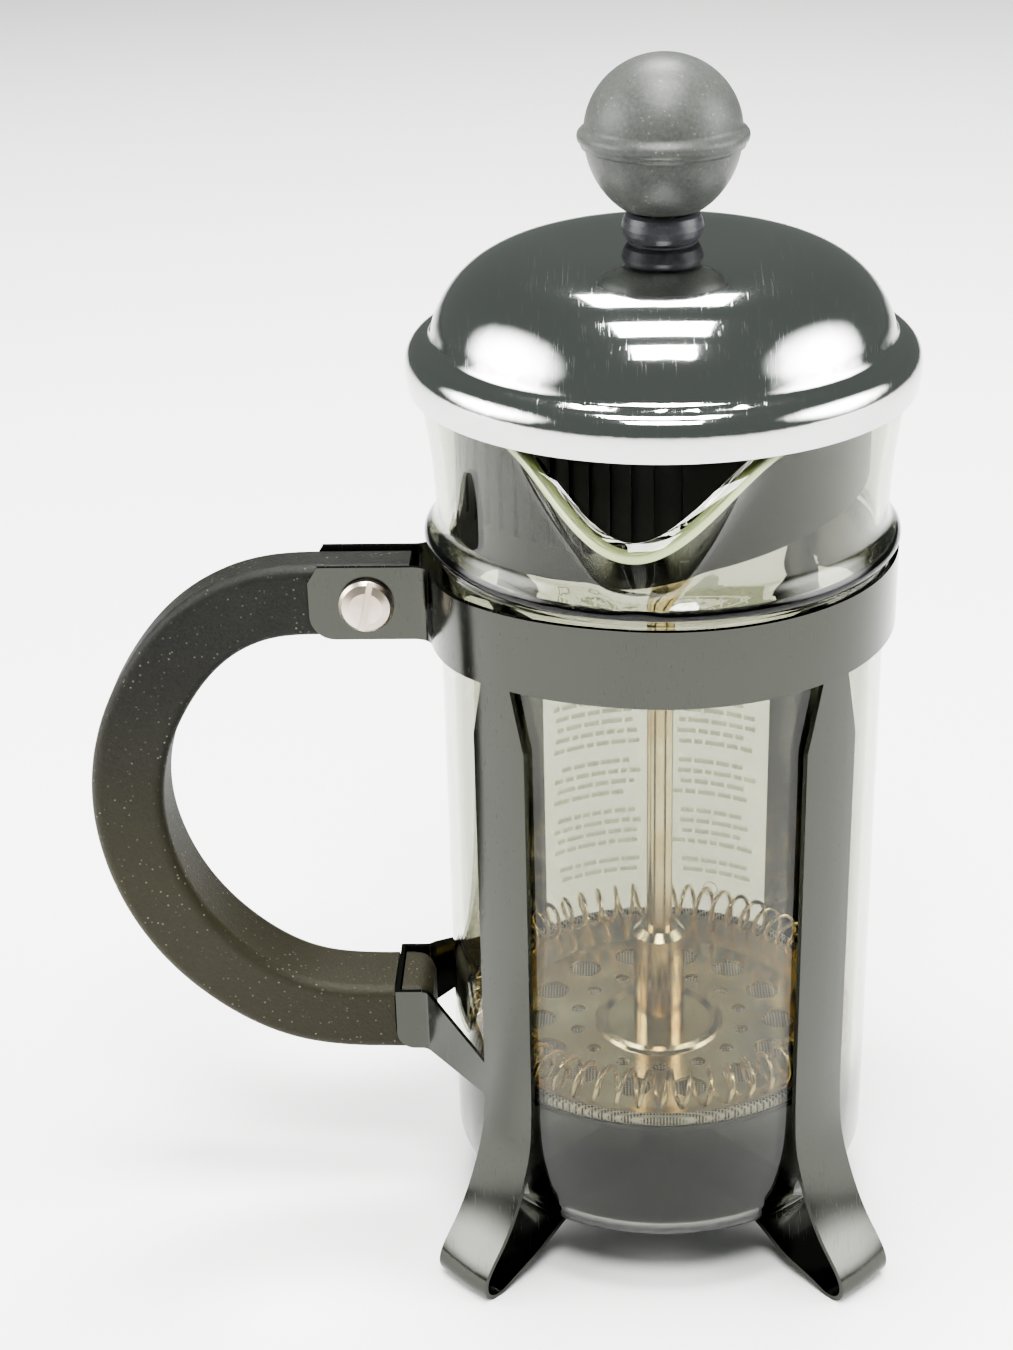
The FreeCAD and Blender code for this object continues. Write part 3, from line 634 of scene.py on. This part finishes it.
WORLD_COLOUR = (0.90, 0.97, 0.93, 1.0)
WORLD_STRENGTH = 0.20
STRIP_SIZE, STRIP_WATTS, STRIP_Z = (0.52, 0.30), 13.0, 1.15
SIDE_SIZE, SIDE_WATTS = (1.5, 1.25), 22.0
SIDE_X, SIDE_Y, SIDE_Z = 1.10, -0.12, 0.55
SIDE_AIM = (0.0, 0.0, 0.12)
# A soft panel is dark from half its width out, and brightest inside this much of it.
SOFT_DARK, SOFT_FULL, SOFT_PEAK = 0.5, 0.12, 2.2

CAMERA_AT = (-0.0094, -0.3441, 0.2600)
CAMERA_PITCH, CAMERA_YAW, CAMERA_ROLL = (math.radians(a) for a in (25.36, -2.37, 1.39))
CAMERA_LENS, CAMERA_SENSOR = 63.3, 36.0
CAMERA_SHIFT_X = -0.0048


def stage():
    s = FLOOR_HALF
    data = bpy.data.meshes.new("floor")
    data.from_pydata([(-s, -s, 0), (s, -s, 0), (s, s, 0), (-s, s, 0)], [], [(0, 1, 2, 3)])
    floor = bpy.data.objects.new("floor", data)
    bpy.context.scene.collection.objects.link(floor)
    mat, n, l, b = new_material("floor")
    vec = coords(n, l, (1, 1, 1))
    shade = ramp(n, l, noise(n, l, vec, 3.0, 2.0), ((0.3, FLOOR_DARK), (0.7, FLOOR_LIGHT)))
    l.new(shade, b.inputs["Base Color"])
    b.inputs["Roughness"].default_value = 0.7
    b.inputs["Specular IOR Level"].default_value = 0.2
    data.materials.append(mat)


def soften(light):
    # The panel fades out towards its edges, by the place on the panel itself.
    light.use_nodes = True
    tree = light.node_tree
    place = tree.nodes.new("ShaderNodeNewGeometry")
    middle = tree.nodes.new("ShaderNodeVectorMath")
    middle.operation = "DISTANCE"
    middle.inputs[1].default_value = (0.5, 0.5, 0.0)
    tree.links.new(place.outputs["Parametric"], middle.inputs[0])
    fade = tree.nodes.new("ShaderNodeMapRange")
    fade.interpolation_type = "SMOOTHSTEP"
    tree.links.new(middle.outputs["Value"], fade.inputs["Value"])
    for key, value in (("From Min", SOFT_DARK), ("From Max", SOFT_FULL),
                       ("To Min", 0.0), ("To Max", SOFT_PEAK)):
        fade.inputs[key].default_value = value
    tree.links.new(fade.outputs["Result"], tree.nodes["Emission"].inputs["Strength"])


def panel(name, at, aim, size, watts, soft=False):
    light = bpy.data.lights.new(name, "AREA")
    light.shape = "RECTANGLE"
    light.size, light.size_y = size
    light.energy = watts
    if soft:
        soften(light)
    obj = bpy.data.objects.new(name, light)
    bpy.context.scene.collection.objects.link(obj)
    obj.location = at
    way = Vector(aim) - Vector(at)
    obj.rotation_euler = way.to_track_quat("-Z", "Y").to_euler()


def lights():
    # Three strips overhead and one large soft panel each side.
    world = bpy.data.worlds.new("studio")
    world.use_nodes = True
    bpy.context.scene.world = world
    back = world.node_tree.nodes["Background"]
    back.inputs["Color"].default_value = WORLD_COLOUR
    back.inputs["Strength"].default_value = WORLD_STRENGTH
    for name, y in (("strip_back", 0.62), ("strip_top", -0.09), ("strip_front", -0.62)):
        panel(name, (0.0, y, STRIP_Z), (0.0, y * 0.2, 0.1), STRIP_SIZE, STRIP_WATTS)
    for name, x in (("side_left", -SIDE_X), ("side_right", SIDE_X)):
        panel(name, (x, SIDE_Y, SIDE_Z), SIDE_AIM, SIDE_SIZE, SIDE_WATTS, True)


def camera():
    # The photograph's view: in front, looking down, a little turned and rolled.
    data = bpy.data.cameras.new("camera")
    data.sensor_width = CAMERA_SENSOR
    data.lens = CAMERA_LENS
    data.shift_x = CAMERA_SHIFT_X
    data.clip_start = 0.01
    obj = bpy.data.objects.new("camera", data)
    bpy.context.scene.collection.objects.link(obj)
    pitch, yaw, roll = CAMERA_PITCH, CAMERA_YAW, CAMERA_ROLL
    forward = Vector((math.sin(yaw) * math.cos(pitch), math.cos(yaw) * math.cos(pitch), -math.sin(pitch)))
    right = Vector((math.cos(yaw), -math.sin(yaw), 0.0))
    down = forward.cross(right)
    side = right * math.cos(roll) + down * math.sin(roll)
    lower = down * math.cos(roll) - right * math.sin(roll)
    basis = Matrix((side, -lower, -forward)).transposed()
    obj.matrix_world = Matrix.Translation(Vector(CAMERA_AT)) @ basis.to_4x4()
    bpy.context.scene.camera = obj


build_glass()
lip_edge()
build_knob()
print_marks()
rim_weave()
stage()
lights()
camera()
# A view setting, not a render one: Blender's own tone curve with more contrast.
bpy.context.scene.view_settings.look = "AgX - High Contrast"
